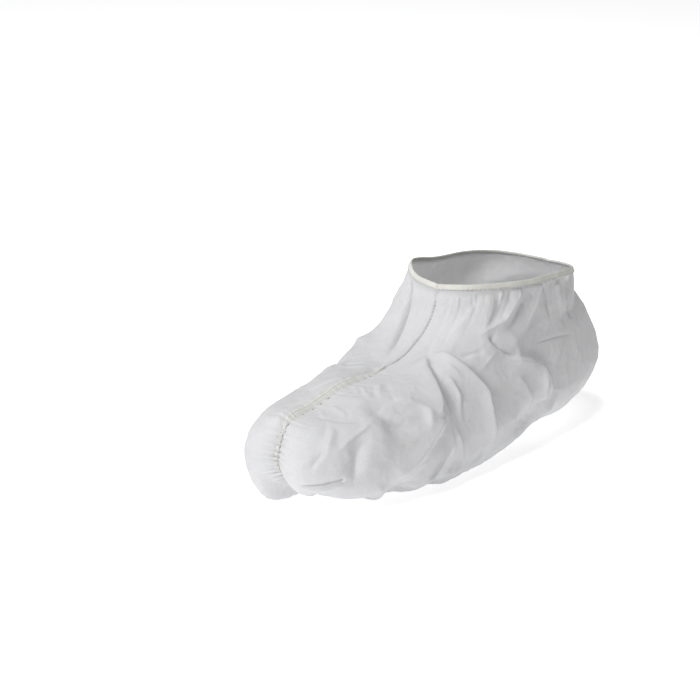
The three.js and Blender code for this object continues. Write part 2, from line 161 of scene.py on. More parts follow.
# %% The table of folds
FOLDS = [
    # side, from (u, v), to (u, v), bow, left, right, height, crispness, fade in, fade out
    # from the corner at the instep, down and round the side of the foot
    ("L", (0.09, 0.80), (0.51, 0.13), 0.10, 3, 8, 7.0, 0.8, 0.12, 0.2),
    ("L", (0.18, 0.71), (0.33, 0.53), 0.01, 1.5, 1.5, 1.2, 0.8, 0.4, 0.5),
    ("L", (0.14, 0.79), (0.49, 0.33), 0.04, 9, 3, -5.0, 0.4, 0.2, 0.5),
    ("L", (0.10, 0.77), (0.42, 0.25), 0.02, 7, 4, -4.0, 0.4, 0.15, 0.4),
    ("L", (0.07, 0.79), (0.33, 0.34), 0.03, 3, 10, 4.6, 0.7, 0.15, 0.1),
    ("L", (0.34, 0.37), (0.23, 0.19), 0.03, 3, 10, 4.6, 0.7, 0.2, 0.2),
    ("L", (0.30, 0.54), (0.42, 0.25), 0.01, 2, 2, 1.1, 0.8, 0.3, 0.4),
    ("L", (0.35, 0.36), (0.42, 0.11), 0.02, 2.4, 2.4, 3.6, 0.8, 0.5, 0.15),
    ("L", (0.38, 0.27), (0.33, 0.14), 0.01, 2.4, 3, 3.2, 0.8, 0.4, 0.15),
    ("L", (0.40, 0.21), (0.40, 0.14), 0, 2, 2, -1.8, 0.6, 0.4, 0.3),
    ("L", (0.48, 0.24), (0.49, 0.13), 0, 2.5, 2.5, 1.0, 0.6, 0.4, 0.3),
    ("L", (0.44, 0.26), (0.45, 0.17), 0, 3, 3, -0.8, 0.4, 0.4, 0.4),
    # a ring and dents over the forefoot
    ("L", (0.14, 0.51), (0.31, 0.30), 0.04, 6, 2.4, 3.0, 0.8, 0.15, 0.2),
    ("L", (0.19, 0.43), (0.25, 0.29), 0, 13, 13, -4.4, 0.1, 0.5, 0.5),
    ("L", (0.03, 0.54), (0.25, 0.25), 0.01, 10, 13, 2.8, 0.2, 0.25, 0.3),
    ("L", (0.08, 0.51), (0.18, 0.39), 0, 8, 8, -2.6, 0.2, 0.5, 0.5),
    ("L", (0.03, 0.40), (0.14, 0.39), 0, 2.2, 1.5, -1.4, 0.8, 0.2, 0.2),
    ("L", (0.16, 0.35), (0.17, 0.19), 0, 5, 8, -4.6, 0.4, 0.4, 0.4),
    ("L", (0.16, 0.38), (0.12, 0.29), 0, 1.6, 2, 1.5, 0.7, 0.3, 0.3),
    ("L", (0.14, 0.30), (0.13, 0.26), 0, 4, 4, -0.8, 0.1, 0.4, 0.5),
    ("L", (0.09, 0.38), (0.12, 0.30), 0, 5, 4, -1.0, 0.1, 0.4, 0.4),
    ("L", (0.09, 0.37), (0.11, 0.27), 0, 3, 3, 1.1, 0.5, 0.4, 0.4),
    ("L", (0.07, 0.38), (0.09, 0.31), 0, 3, 3, -0.8, 0.4, 0.4, 0.4),
    ("L", (0.10, 0.30), (0.08, 0.23), 0, 2.5, 3, -1.3, 0.5, 0.3, 0.4),
    ("L", (0.06, 0.18), (0.15, 0.22), 0, 2.2, 2, -3.4, 0.8, 0.2, 0.15),
    ("L", (0.07, 0.17), (0.15, 0.21), 0, 2, 3, 1.6, 0.6, 0.2, 0.2),
    ("L", (0.25, 0.18), (0.27, 0.04), 0, 12, 9, -9.0, 0.2, 0.3, 0.3),
    ("L", (0.33, 0.12), (0.38, 0.06), 0, 9, 9, -7.0, 0.1, 0.3, 0.3),
    ("L", (0.21, 0.20), (0.22, 0.12), 0, 5, 4, 1.6, 0.5, 0.4, 0.2),
    ("L", (0.25, 0.61), (0.38, 0.37), 0.01, 1.6, 3, 1.6, 0.7, 0.3, 0.3),
    ("L", (0.29, 0.47), (0.40, 0.15), 0.02, 2, 3.5, 2.0, 0.6, 0.3, 0.25),
    # short puckers that hang from the overlocked seam
    ("L", (0.03, 0.59), (0.10, 0.50), 0, 1.8, 2.2, 0.9, 0.6, 0.3, 0.4),
    ("L", (0.05, 0.60), (0.10, 0.52), 0, 2.2, 2.2, -0.6, 0.3, 0.3, 0.4),
    ("L", (0.06, 0.62), (0.12, 0.50), 0, 1.9, 2.2, 0.8, 0.6, 0.3, 0.5),
    ("L", (0.07, 0.63), (0.13, 0.52), 0, 2.4, 2.4, -0.6, 0.3, 0.3, 0.5),
    ("L", (0.02, 0.44), (0.06, 0.39), 0, 2, 2, 0.6, 0.4, 0.3, 0.4),
    ("L", (0.03, 0.46), (0.09, 0.42), 0, 3, 3, 0.9, 0.4, 0.2, 0.4),
    # gathers that hang from the ankle tape
    ("L", (0.23, 0.98), (0.24, 0.80), 0.02, 3, 9, 2.6, 0.6, 0.3, 0.4),
    ("L", (0.28, 0.94), (0.28, 0.82), 0, 7, 6, -1.5, 0.1, 0.4, 0.4),
    ("L", (0.38, 0.98), (0.34, 0.82), 0.01, 2.4, 5, 2.8, 0.7, 0.3, 0.2),
    ("L", (0.35, 0.84), (0.24, 0.81), 0, 3, 3, 2.4, 0.8, 0.2, 0.4),
    ("L", (0.41, 0.96), (0.40, 0.74), 0, 4, 3, -1.6, 0.3, 0.4, 0.3),
    ("L", (0.28, 0.98), (0.28, 0.92), 0, 1.3, 1.5, 1.1, 0.7, 0.1, 0.5),
    ("L", (0.43, 0.77), (0.54, 0.54), 0, 5, 6, 1.6, 0.3, 0.3, 0.3),
    ("L", (0.30, 0.80), (0.52, 0.57), 0, 3, 2, -2.4, 0.7, 0.15, 0.2),
    ("L", (0.51, 0.97), (0.49, 0.68), 0, 2, 4.5, 1.8, 0.7, 0.1, 0.4),
    ("L", (0.52, 0.96), (0.65, 0.70), 0, 2, 2, -1.9, 0.7, 0.1, 0.4),
    ("L", (0.57, 0.96), (0.62, 0.80), 0, 1.5, 1.5, -0.9, 0.7, 0.1, 0.4),
    ("L", (0.61, 0.95), (0.72, 0.69), 0, 4, 3.5, 1.6, 0.5, 0.1, 0.5),
    ("L", (0.70, 0.96), (0.80, 0.54), 0, 2.2, 2.2, -2.2, 0.7, 0.1, 0.4),
    ("L", (0.18, 0.95), (0.11, 0.84), 0, 8, 2.5, 1.0, 0.6, 0.3, 0.3),
    ("L", (0.10, 0.98), (0.11, 0.91), 0, 1.6, 2, 0.8, 0.5, 0.1, 0.6),
    ("L", (0.15, 0.98), (0.17, 0.92), 0, 1.5, 1.5, -0.9, 0.6, 0.1, 0.6),
    ("L", (0.55, 0.64), (0.78, 0.43), 0.03, 1.3, 1.3, -1.1, 0.9, 0.3, 0.3),
    # folds that hang over the heel
    ("L", (0.46, 0.60), (0.67, 0.24), 0.05, 2.6, 11, 6.0, 0.8, 0.15, 0.15),
    ("L", (0.56, 0.50), (0.70, 0.34), 0.02, 9, 3, -2.8, 0.1, 0.3, 0.3),
    ("L", (0.64, 0.36), (0.65, 0.25), 0, 1.6, 2.4, 2.2, 0.8, 0.2, 0.1),
    ("L", (0.53, 0.44), (0.62, 0.24), 0.01, 2.4, 3, 1.4, 0.7, 0.3, 0.3),
    ("L", (0.34, 0.71), (0.22, 0.74), 0, 2, 2.4, -1.2, 0.6, 0.3, 0.3),
    ("L", (0.39, 0.69), (0.39, 0.56), -0.01, 2.5, 2, 1.1, 0.5, 0.3, 0.4),
    ("L", (0.65, 0.22), (0.70, 0.19), 0, 6, 6, 2.4, 0.2, 0.4, 0.4),
    ("L", (0.06, 0.84), (0.09, 0.77), 0, 3, 3, -1.6, 0.4, 0.3, 0.4),
    # the toe's two lobes: one sags to the floor beside the seam, the other tucks up
    ("R", (0.02, 0.10), (0.18, 0.07), 0, 17, 17, 11.0, 0.0, 0.1, 0.2),
    ("L", (0.05, 0.09), (0.20, 0.06), 0, 14, 14, -5.0, 0.0, 0.1, 0.2),
    ("L", (0.04, 0.12), (0.12, 0.12), 0, 12, 12, -4.0, 0.0, 0.3, 0.6),
    # hollows that trim the turn under the heel
    ("L", (0.66, 0.14), (0.80, 0.13), 0, 15, 15, -5.0, 0.0, 0.35, 0.35),
    ("L", (0.57, 0.19), (0.66, 0.20), 0, 14, 14, -7.0, 0.0, 0.3, 0.3),
    # the far side: a long groove and creases over the instep
    ("R", (0.15, 0.99), (0.04, 0.75), 0, 1.2, 2.4, -6.5, 0.8, 0.1, 0.35),
    ("R", (0.10, 0.97), (0.03, 0.83), 0, 3, 3, 0.8, 0.3, 0.2, 0.4),
    ("R", (0.27, 0.96), (0.20, 0.88), 0, 1.2, 1.2, -1.1, 0.7, 0.2, 0.5),
    ("R", (0.28, 0.91), (0.16, 0.80), 0, 3, 3, 0.8, 0.3, 0.3, 0.4),
    ("R", (0.12, 0.63), (0.05, 0.71), 0, 1.6, 1.6, -1.1, 0.7, 0.2, 0.5),
    ("R", (0.10, 0.62), (0.02, 0.69), 0, 1.8, 1.8, 1.0, 0.7, 0.3, 0.5),
    ("R", (0.06, 0.47), (0.02, 0.57), 0, 2.2, 1.4, -1.6, 0.7, 0.15, 0.4),
    ("R", (0.06, 0.52), (0.02, 0.58), 0, 1.6, 1.6, 0.8, 0.7, 0.3, 0.5),
    ("R", (0.04, 0.38), (0.01, 0.45), 0, 1.6, 1.6, -1.5, 0.6, 0.1, 0.4),
    # plain gathers and sags on the side that isn't seen, smooth near the rim, where its inside is
    ("R", (0.30, 0.90), (0.28, 0.66), 0.02, 7, 6, -2.4, 0.5, 0.5, 0.5),
    ("R", (0.42, 0.90), (0.41, 0.64), 0.02, 6, 7, 2.6, 0.5, 0.5, 0.5),
    ("R", (0.54, 0.90), (0.58, 0.64), 0, 7, 6, -2.4, 0.5, 0.5, 0.5),
    ("R", (0.66, 0.90), (0.74, 0.60), 0, 6, 6, 2.2, 0.5, 0.5, 0.5),
    ("R", (0.12, 0.78), (0.45, 0.20), 0.07, 7, 8, 4.0, 0.7, 0.3, 0.4),
    ("R", (0.12, 0.68), (0.30, 0.28), 0.03, 8, 6, -3.6, 0.6, 0.3, 0.4),
    ("R", (0.46, 0.52), (0.64, 0.24), 0.02, 7, 6, 3.0, 0.7, 0.3, 0.3),
    ("R", (0.30, 0.56), (0.50, 0.18), 0.04, 4, 9, 4.0, 0.6, 0.25, 0.3),
    ("R", (0.54, 0.66), (0.70, 0.46), 0.02, 4, 8, 3.2, 0.5, 0.3, 0.4),
    ("R", (0.62, 0.66), (0.86, 0.40), 0.03, 6, 9, 3.6, 0.5, 0.3, 0.3),
    ("R", (0.64, 0.38), (0.86, 0.22), 0.02, 5, 8, 2.6, 0.4, 0.3, 0.3),
]
print(len(FOLDS), "folds")

# %% From a row to a fold
PATH_STEPS = 60  # points along a fold's crest
FLANK_REACH = 3.2  # widths from its crest at which a fold has died away


def bowed_path(start, end, bow, count):
    """The way from start to end; bow swings it aside, to larger u where a fold runs down."""
    start, way = np.array(start), np.subtract(end, start)
    aside = np.array([-way[1], way[0]]) / np.linalg.norm(way)
    s = np.linspace(0, 1, count)[:, None]
    return start + way * s + aside * bow * 4 * s * (1 - s)


class Lattice:
    """A grid over u and v that can be read between its points."""

    def __init__(self, us, vs, *layers):
        self.us, self.vs, self.layers = us, vs, layers

    def at(self, u, v):
        i = np.clip(np.searchsorted(self.us, u) - 1, 0, len(self.us) - 2)
        j = np.clip(np.searchsorted(self.vs, v) - 1, 0, len(self.vs) - 2)
        a = np.clip((u - self.us[i]) / (self.us[i + 1] - self.us[i]), 0, 1)[:, None]
        b = np.clip((v - self.vs[j]) / (self.vs[j + 1] - self.vs[j]), 0, 1)[:, None]
        return [(g[j, i] * (1 - a) + g[j, i + 1] * a) * (1 - b)
                + (g[j + 1, i] * (1 - a) + g[j + 1, i + 1] * a) * b for g in self.layers]


def fold_section(r, crisp):
    """A fold's height r widths from its crest: a soft bell mixed with a sharp ridge."""
    bell, ridge = np.exp(-(r**2)), np.exp(-1.25 * (np.sqrt(r**2 + 0.02) - 0.14))
    return (1 - crisp) * bell + crisp * ridge


def fold_heights(points, lattice, fold):
    """How far one fold lifts each point off the smooth side."""
    _, start, end, bow, left, right, height, crisp, fade_in, fade_out = fold
    way = np.clip(bowed_path(start, end, bow, PATH_STEPS), 0, 1)
    spots, out = lattice.at(way[:, 0], way[:, 1])
    across = unit(np.cross(np.gradient(spots, axis=0), out))
    middle = spots.mean(0)
    reach = np.linalg.norm(spots - middle, axis=1).max() + FLANK_REACH * max(left, right)
    close = np.flatnonzero(((points - middle) ** 2).sum(1) < reach**2)
    gap = ((points[close, None, :] - spots[None]) ** 2).sum(-1)
    nearest = gap.argmin(1)
    aside = ((points[close] - spots[nearest]) * across[nearest]).sum(1)
    beyond = np.sqrt(np.maximum(gap[np.arange(len(close)), nearest] - aside**2, 0))
    width = np.where(aside > 0, right, left)
    s = nearest / (PATH_STEPS - 1)
    ends = ease(s / fade_in) * ease((1 - s) / fade_out) * np.exp(-((beyond / width) ** 2))
    lift = np.zeros(len(points))
    lift[close] = height * ends * fold_section(aside / width, crisp)
    return lift


print("a crisp fold at 0, 1 and 2 widths:", fold_section(np.arange(3), 0.8).round(2))

# %% [markdown]
# ## Gathers and crumple
# Between two stitches gathered cloth puffs up, and at each stitch it is pinched: the absolute value
# of a sine has just that form. Fine crumpling comes from ridged noise, which bends cloth into soft
# facets as a stiff nonwoven does, where plain noise would look like clay.

# %% Noise
def grain(points, size, seed):
    """Smooth gradient noise between about -1 and 1, over points in space."""
    p = points / size + seed * 17.37
    cell = np.floor(p).astype(np.int64)
    f = p - cell
    s = f * f * f * (f * (f * 6 - 15) + 10)
    total = np.zeros(len(p))
    for corner in np.ndindex(2, 2, 2):
        c = cell + corner  # large odd numbers scatter neighbouring cells
        key = (c[:, 0] * 73856093) ^ (c[:, 1] * 19349663) ^ (c[:, 2] * 83492791) ^ (seed * 2654435)
        key = (key ^ (key >> 13)) * 1274126177 & 0x7FFFFFFF
        angle = (key % 6283) / 1000.0
        tilt = ((key // 6283) % 2000) / 1000.0 - 1
        flat = np.sqrt(1 - tilt**2)
        arrow = np.stack([flat * np.cos(angle), flat * np.sin(angle), tilt], 1)
        weight = np.prod(np.where(np.array(corner) == 1, s, 1 - s), axis=1)
        total += weight * (arrow * (f - np.array(corner))).sum(1)
    return total * 1.6


def crumple(points, size, seed):
    """Ridged noise: broad soft facets that meet in fine creases."""
    drift = np.stack([grain(points, size * 1.7, seed + k) for k in (5, 6, 7)], 1)
    return 0.5 - 1.6 * np.abs(grain(points + drift * size * 0.5, size, seed))


print("crumple every 9 mm:", crumple(np.outer(np.arange(5), [9.0, 0, 0]), 34, 11).round(2))


# %% Pinches along a seam
def pinched(run, pitch, wander, seed):
    """Puffs between pinches along a seam, with an uneven pitch."""
    line = np.stack([run, np.full_like(run, 3.1 * seed), np.zeros_like(run)], -1)
    sway = grain(line.reshape(-1, 3), pitch * 2.3, seed).reshape(run.shape)
    return np.abs(np.sin(math.pi * (run / pitch + wander * sway))) - 0.55


def eased(grid):
    """The heights, each averaged with its neighbours, so that a slanting crest has no steps."""
    wide = np.pad(grid, 1, mode="edge")
    beside = wide[:-2, 1:-1] + wide[2:, 1:-1] + wide[1:-1, :-2] + wide[1:-1, 2:]
    return 0.6 * grid + 0.1 * beside


print("one puff:", pinched(np.linspace(0, 5, 6), 5.0, 0.0, 1).round(2))

# %% [markdown]
# ## One side, sewn
# The tape and the seams hold the cloth still, gathers start from them, and between them it is free
# to fold. So each point first learns how far it lies from what holds it. Then every height is
# added up, and the points are moved only once, which is easier to follow than many small moves.

# %% Where the cloth is held
SIDE_HEIGHT = 190.0  # millimetres of cloth from the middle of the sole to the rim
UNDER_TAPE = 4.2  # millimetres below the rim that the tape holds still
HOLD_EASE, BACK_EASE = 4.0, 6.0  # millimetres over which the tape and the back seam let go


def near(distance, reach):
    """1 at a seam or at the rim, and less further away."""
    return np.exp(-distance / reach)


def between(v, low, rise, high, fall):
    """1 between low and high, eased in over rise and out over fall."""
    return ease((v - low) / rise) * ease((high - v) / fall)


class Places:
    """How far each point of a side lies from its seams and its rim, and how free that leaves it."""

    def __init__(self, bare, lengths, us, vs):
        self.u, self.v = np.meshgrid(us, vs)
        self.from_seam = self.u * lengths[:, None]
        self.from_back = (1 - self.u) * lengths[:, None]
        self.below_rim = (1 - self.v) * SIDE_HEIGHT
        self.round_rim = self.u * lengths[-1]
        self.up_seam = np.broadcast_to(running(bare[:, 0])[:, None], self.u.shape)
        self.free = ease((self.below_rim - UNDER_TAPE) / HOLD_EASE)
        self.closed = ease(self.from_back / BACK_EASE)


print("free to fold:", round(SIDE_HEIGHT - UNDER_TAPE), "mm of", round(SIDE_HEIGHT), "mm")


# %% Gathers, ridges and seams
FAR_SHARE = 0.35  # the far side is gathered less by the tape
TOE_PUFF = {"L": 1.7, "R": 2.4}  # millimetres
SOLE_SEAM = (-108, 37)  # y where the toe seam's pull ends under the sole, and over what length
TOE_TOP = 0.3  # v up to where that holds; above it the pull ends with u
HOLLOW_POWER = 1.35  # between 1, a hollow like a V, and 2, a hollow like a bell


def gathers(side, at):
    """Puffs under the tape, round the toe and over the foot."""
    drawn = at.closed * at.free * (FAR_SHARE if side == "R" else 1)
    puffs = 0.75 * drawn * near(at.below_rim, 11) * pinched(at.round_rim, 5.2, 0.8, 2)
    puffs += drawn * near(at.below_rim, 26) * pinched(at.round_rim, 11.5, 0.8, 3)
    slant = at.up_seam + 0.12 * at.from_seam
    toe = TOE_PUFF[side] * between(at.v, 0.02, 0.05, 0.40, 0.06) * (at.u < 0.5)
    puffs += toe * near(at.from_seam, 12) * pinched(slant, 5.4, 0.8, 4)
    foot = 0.45 * between(at.v, 0.38, 0.05, 0.74, 0.05)
    return puffs + foot * near(at.from_seam, 6) * pinched(at.up_seam, 6.5, 0.9, 5)


def far_ridges(at):
    """The turned-in seam, which lies to the far side as a cord, and the swell beside the band."""
    cord = 1.1 * ease((at.v - 0.66) / 0.05) * np.exp(-(((at.from_seam - 2.0) / 1.3) ** 2))
    swell = 4.5 * between(at.v, 0.27, 0.08, 0.74, 0.08)
    swell *= 1 - np.exp(-((at.from_seam / 5) ** 2))
    return cord + swell * np.exp(-((at.from_seam / 17) ** 2))


def drawn_in(bare, at, vs):
    """How deep the seams pull: round the toe, in the groove between its lobes, and at the back."""
    depth, reach = through(SEAM_PULL, vs).T[..., None]
    ends, over = SOLE_SEAM
    share = np.where(at.v < TOE_TOP, ease((ends - bare[..., 1]) / over), ease((0.5 - at.u) / 0.2))
    hollow = depth * share * np.exp(-((np.abs(bare[..., 0]) / reach) ** HOLLOW_POWER))
    low = between(at.v, 0.04, 0.04, 0.22, 0.08)
    groove = (0.3 + 1.5 * low) * near(at.from_seam, 0.8 + low)
    return hollow + groove + 0.8 * near(at.from_back, 1.4)


print("puffs round the toe:", TOE_PUFF, "mm")

# %% All heights together
RIPPLES = [(0.75, 34, 11), (0.5, 15, 12), (0.26, 7, 13)]  # millimetres high, size, seed
COARSE = np.linspace(0, 1, 161)  # u and v of a coarse grid that the folds' paths are read from


def sewn_side(side, us, vs):
    """One side of the cover with all its folds, in millimetres: points, normals and lengths."""
    sign = 1 if side == "L" else -1
    bare, lengths = bare_side(sign, us, vs)
    at = Places(bare, lengths, us, vs)
    out = facing(bare, sign)
    out[:, 0, 0] = out[:, -1, 0] = out[0, :, 0] = 0  # the edges stay in the plane of the seam
    coarse, _ = bare_side(sign, COARSE, COARSE)
    lattice = Lattice(COARSE, COARSE, coarse, facing(coarse, sign))
    flat = bare.reshape(-1, 3)
    lift = sum(fold_heights(flat, lattice, fold) for fold in FOLDS if fold[0] == side)
    sewn = 0.1 + 0.9 * ease(at.from_seam / 8)
    folds = eased(lift.reshape(at.u.shape)) * at.free * sewn * at.closed + gathers(side, at)
    if side == "R":
        folds += far_ridges(at)
    ripple = sum(height * crumple(flat, size, seed) for height, size, seed in RIPPLES)
    folds += ripple.reshape(at.u.shape) * at.free * (1 - 0.6 * near(at.from_seam, 10))
    points = bare + unit(out) * (folds - drawn_in(bare, at, vs))[..., None]
    points[..., 2] = np.maximum(points[..., 2] - ORIGIN[2], 0)  # the sole lies on the floor
    points[..., 0] = sign * np.maximum(sign * points[..., 0], 0.01)  # no side crosses the seam
    points[..., :2] -= ORIGIN[:2]
    return points, facing(points, sign), lengths


print("ripples:", [height for height, _, _ in RIPPLES], "mm high")

# %% [markdown]
# ## Shader maths in plain Python
# A node tree is easier to read as an expression. This class wraps a socket, so `1 - mask * 2` adds
# the Math nodes by itself, and one method makes every other node.

# %% A material as an expression
class Socket:
    def __init__(self, look, link):
        self.look, self.link = look, link

    def maths(self, operation, *values):
        return self.look.node("ShaderNodeMath", {"operation": operation}, *values)

    def __add__(self, other):
        return self.maths("ADD", self, other)

    def __sub__(self, other):
        return self.maths("SUBTRACT", self, other)

    def __rsub__(self, other):
        return self.maths("SUBTRACT", other, self)

    def __mul__(self, other):
        return self.maths("MULTIPLY", self, other)

    __radd__, __rmul__ = __add__, __mul__


class Look:
    """One material, made node by node."""

    def __init__(self, name):
        self.material = bpy.data.materials.new(name)
        self.material.use_nodes = True
        self.tree = self.material.node_tree
        self.tree.nodes.clear()

    def node(self, kind, settings=None, *values, give=0, **named):
        """A node with its settings, then its sockets by number or name; give picks the output."""
        made = self.tree.nodes.new(kind)
        for key, value in (settings or {}).items():
            if key == "stops":
                for element, (place, colour) in zip(made.color_ramp.elements, value):
                    element.position, element.color = place, colour
            else:
                setattr(made, key, value)
        for key, value in [*enumerate(values), *named.items()]:
            socket = made.inputs[key if isinstance(key, int) else key.replace("_", " ")]
            if isinstance(value, Socket):
                self.tree.links.new(value.link, socket)
            else:
                socket.default_value = value
        return Socket(self, made.outputs[give]) if len(made.outputs) else made

    def finish(self, colour, height, roughness, strength, distance, glow=0.0):
        """Ends the tree in a Principled surface with a bump; glow is what shines through."""
        bump = self.node("ShaderNodeBump", None, Strength=strength, Distance=distance,
                         Height=height)
        skin = self.node("ShaderNodeBsdfPrincipled", None, Base_Color=colour, Roughness=roughness,
                         Normal=bump)
        if glow:
            inside = self.node("ShaderNodeBsdfTranslucent", None, Color=(0.9, 0.9, 0.9, 1))
            skin = self.node("ShaderNodeMixShader", None, glow, skin, inside)
        self.node("ShaderNodeOutputMaterial", None, Surface=skin)
        return self.material


print("operators on sockets: +, - and *")

# %% [markdown]
# ## Finishes
# The cloth is a matt white spun nonwoven. Rollers press a fine grid into it, and under that the
# fibres lie every way, so its bump is a small square grid, a fibre noise and a slow crumple. A
# scanned cloth could be used, but this needs no file and stays sharp close up. The tape, the seam
# band and the thread are warmer and off-white, and need only a fibre noise.

# %% Nonwoven cloth
GRID_PITCH = 0.0017  # metres between pressed points
IN_SPACE, WAVE_HEIGHT = 3, 1  # the outputs that we read of Texture Coordinate and of Wave Texture


def noise(look, place, scale, detail, roughness=0.5):
    return look.node("ShaderNodeTexNoise", None, Vector=place, Scale=scale, Detail=detail,
                     Roughness=roughness)


def cloth_look():
    look = Look("nonwoven_cloth")
    cut = look.node("ShaderNodeUVMap", {"uv_map": "cut"})
    place = look.node("ShaderNodeTexCoord", None, give=IN_SPACE)
    scale = math.pi / 10 / GRID_PITCH  # a wave texture turns once in pi / 10 of its own units
    threads_u, threads_v = (
        look.node("ShaderNodeTexWave",
                  {"wave_type": "BANDS", "wave_profile": "SIN", "bands_direction": direction},
                  Vector=cut, Scale=scale, Distortion=1.2, Detail=2.0, Detail_Scale=2.0,
                  give=WAVE_HEIGHT)
        for direction in "XY")
    fibres = noise(look, place, 900.0, 4.0, 0.6)
    soft = noise(look, place, 120.0, 3.0)
    blotch = noise(look, place, 28.0, 3.0)
    grid = threads_u * threads_v
    height = grid * 0.35 + fibres * 0.45 + soft * 0.8
    tone = blotch * 0.45 + fibres * 0.35 + (1 - grid) * 0.2
    colour = look.node("ShaderNodeValToRGB", {"stops": [
        (0.25, (0.55, 0.55, 0.56, 1)), (0.75, (0.66, 0.66, 0.67, 1))]}, tone)
    return look.finish(colour, height, roughness=0.86, strength=0.6, distance=0.0006, glow=0.22)


print("pressed points every", GRID_PITCH, "m")


# %% Tape, seam band, thread, and the painted shade of the needle holes
def tape_look(name, dark, light):
    look = Look(name)
    place = look.node("ShaderNodeTexCoord", None, give=IN_SPACE)
    fibres = noise(look, place, 800.0, 4.0, 0.6)
    tone = noise(look, place, 90.0, 3.0) * 0.6 + fibres * 0.4
    colour = look.node("ShaderNodeValToRGB", {"stops": [(0.3, dark), (0.7, light)]}, tone)
    return look.finish(colour, fibres, roughness=0.85, strength=0.6, distance=0.0005)


def thread_look():
    look = Look("overlock_thread")
    twist = noise(look, look.node("ShaderNodeTexCoord", None, give=IN_SPACE), 1500.0, 2.0)
    colour = look.node("ShaderNodeValToRGB", {"stops": [
        (0.3, (0.58, 0.58, 0.54, 1)), (0.7, (0.66, 0.66, 0.62, 1))]}, twist)
    return look.finish(colour, twist, roughness=0.7, strength=0.4, distance=0.0002)


# The needle holes' finish is painted shade: its near-black colour stands for the shadow inside a
# hole.
def hole_shade_look():
    look = Look("needle_hole_painted_shade")
    shade = noise(look, look.node("ShaderNodeTexCoord", None, give=IN_SPACE), 700.0, 2.0)
    colour = look.node("ShaderNodeValToRGB", {"stops": [
        (0.3, (0.035, 0.036, 0.035, 1)), (0.7, (0.10, 0.10, 0.095, 1))]}, shade)
    return look.finish(colour, shade, roughness=0.95, strength=0.3, distance=0.0002)


FINISH = {
    "cloth": cloth_look(),
    "tape": tape_look("off_white_tape", (0.49, 0.485, 0.45, 1), (0.62, 0.615, 0.58, 1)),
    "band": tape_look("seam_band_cloth", (0.56, 0.56, 0.54, 1), (0.65, 0.65, 0.63, 1)),
    "thread": thread_look(),
    # painted shade for the needle holes
    "hole": hole_shade_look(),
}
print("finishes:", ", ".join(FINISH))

# %% [markdown]
# ## From a grid of points to a piece
# A sewn piece is one grid, so its mesh is made at once from arrays. The cloth is a single sheet, as
# thin cloth looks the same from both sides. A tape or a thread is a closed section swept along it.

# %% Making pieces
def make_piece(name, points, faces, finish, slot, uv=None):
    mesh = bpy.data.meshes.new(name)
    mesh.from_pydata([tuple(p) for p in points * MM], [], faces)
    mesh.materials.append(FINISH[finish])
    if uv is not None:
        layer = mesh.uv_layers.new(name="cut")
        corners = np.empty(len(mesh.loops), np.int32)
        mesh.loops.foreach_get("vertex_index", corners)
        layer.data.foreach_set("uv", (uv * MM)[corners].astype(np.float32).ravel())
    mesh.polygons.foreach_set("use_smooth", [True] * len(mesh.polygons))
    mesh.update()
    piece = bpy.data.objects.new(name, mesh)
    bpy.context.collection.objects.link(piece)
    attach(piece, "root")
    print(f"{name}: {len(points)} points, {len(faces)} faces")
    return piece


def grid_faces(rows, columns, flip):
    corner = (np.arange(rows - 1)[:, None] * columns + np.arange(columns - 1)).ravel()
    quads = np.stack([corner, corner + 1, corner + columns + 1, corner + columns], 1)
    return (quads[:, ::-1] if flip else quads).tolist()


def tube_faces(rings, sides, closed):
    """Faces between rings of points; a tube that isn't closed to a loop gets two end caps."""
    faces = []
    for j in range(rings if closed else rings - 1):
        a, b = j * sides, ((j + 1) % rings) * sides
        faces += [(a + k, a + (k + 1) % sides, b + (k + 1) % sides, b + k) for k in range(sides)]
    if not closed:
        last = (rings - 1) * sides
        faces += [tuple(range(sides))[::-1], tuple(range(last, last + sides))]
    return faces


print("a grid of 3 x 3 points has", len(grid_faces(3, 3, False)), "faces")

# %% [markdown]
# ## The two sides
# The real sides are two flat cuts of cloth, sewn edge to edge. One mesh could hold both, but as two
# pieces each stands for its own solid and has its own grid: a finer one for the side with more
# folds, and both finer towards the front seam, where the gathers are small.

# %% Both sides of cloth
CELLS = {"L": (328, 298), "R": (250, 240)}
CUT_HEIGHT = 290  # millimetres of the cut from the sole to the rim, for the cloth's grid


def seam_fine(count):
    s = np.linspace(0, 1, count + 1)
    return s + 0.35 * (s**2 - s)


sides = {}
for side, name in (("L", "left_side_cloth"), ("R", "right_side_cloth")):
    us, vs = seam_fine(CELLS[side][0]), np.linspace(0, 1, CELLS[side][1] + 1)
    points, out, lengths = sewn_side(side, us, vs)
    sides[side] = Lattice(us, vs, points, out)
    sides[side].lengths = lengths
    u, v = np.meshgrid(us, vs)
    cut = np.stack([(u * lengths[:, None]).ravel(), (v * CUT_HEIGHT).ravel()], 1)
    faces = grid_faces(len(vs), len(us), flip=side == "R")
    cloth = make_piece(name, points.reshape(-1, 3), faces, "cloth", "cloth", uv=cut)
    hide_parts("left_panel" if side == "L" else "right_panel")

# %% [markdown]
# ## The ankle tape
# A narrow tape is folded over the raw rim and sewn through. A curve with a bevel could make it, but
# would twist where the rim bends. So its section, a small hook, is set at each point of the rim by
# the way down and the way out. It is closed to a ring, where a real tape laps over its own start.

# %% Where the rim runs
BELOW_RIM = 0.975  # v of the points that give the way down from the rim


def rim_path(count):
    """Points round the rim, the way down from each, and the way out."""
    half = np.linspace(0, 1, count // 2, endpoint=False)
    tops, lows = [], []
    for side, us in (("L", half), ("R", 1 - half)):
        tops.append(sides[side].at(us, np.full_like(half, 1.0))[0])
        lows.append(sides[side].at(us, np.full_like(half, BELOW_RIM))[0])
    top, down = np.concatenate(tops), unit(np.concatenate(lows) - np.concatenate(tops))
    along = np.roll(top, -1, 0) - np.roll(top, 1, 0)
    return top, down, unit(np.cross(down, along))


